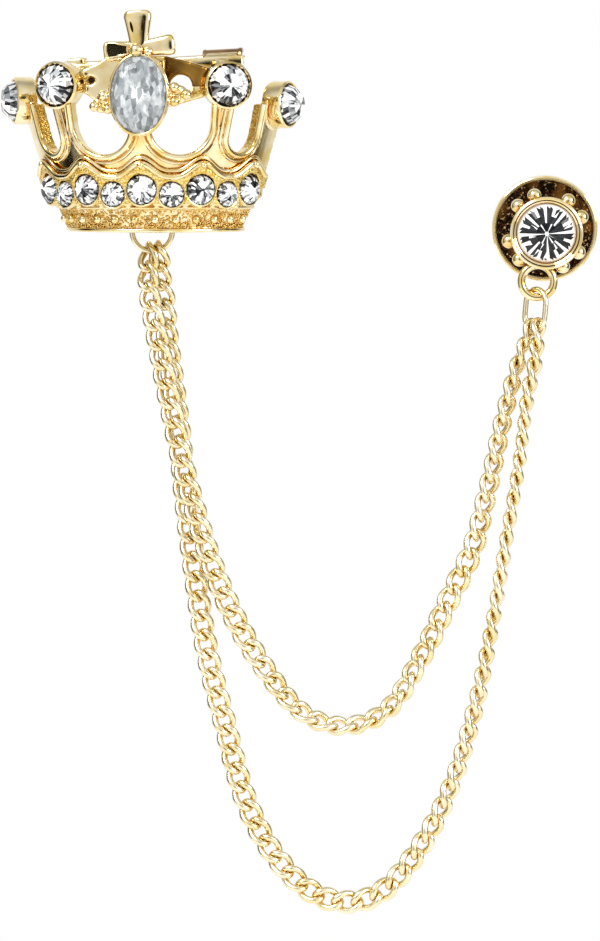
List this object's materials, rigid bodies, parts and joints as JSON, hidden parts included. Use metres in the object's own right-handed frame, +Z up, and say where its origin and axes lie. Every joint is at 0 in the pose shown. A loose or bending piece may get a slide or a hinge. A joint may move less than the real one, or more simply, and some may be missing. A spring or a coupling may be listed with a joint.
{
  "type": "lapel chain brooch",
  "caption": "Crown brooch with clear stones and a back pin, joined by two draped curb-chain strands to a round beaded stud with a clutch.",
  "frame": {"origin": "middle of the crown brooch's pin, where it goes through the lapel", "axes": "+X to the viewer's right, from the crown towards the stud; +Y back, into the cloth; +Z up"},
  "size_m": [0.0622, 0.0225, 0.0938],
  "materials": {
    "gold": "polished gold plate on cast and drawn brass",
    "clear_stone": "clear cut glass, foil backed"
  },
  "bodies": {
    "brooch": {"crown": "gold", "oval_stone": "clear_stone", "spike_stone_1": "clear_stone", "spike_stone_2": "clear_stone", "spike_stone_3": "clear_stone", "spike_stone_4": "clear_stone", "row_stone_1": "clear_stone", "row_stone_2": "clear_stone", "row_stone_3": "clear_stone", "row_stone_4": "clear_stone", "row_stone_5": "clear_stone", "row_stone_6": "clear_stone", "row_stone_7": "clear_stone", "row_stone_8": "clear_stone", "row_stone_9": "clear_stone", "crown_ring": "gold", "short_chain": "gold", "long_chain": "gold", "stud_link": "gold", "stud_head": "gold", "stud_stone": "clear_stone"},
    "stem": {"pin_stem": "gold"},
    "clutch": {"clutch": "gold"}
  },
  "joints": [
    {"name": "stem_hinge", "type": "hinge", "parent": "brooch", "child": "stem", "pos_m": [-0.00793, 0.00097, -0.00042], "axis": [-0.0519, 0.0064, 0.9986], "range_deg": [0, 80]},
    {"name": "clutch_slide", "type": "slide", "parent": "brooch", "child": "clutch", "axis": [0, 0.9976, 0.0698], "range_m": [0, 0.0072]}
  ]
}
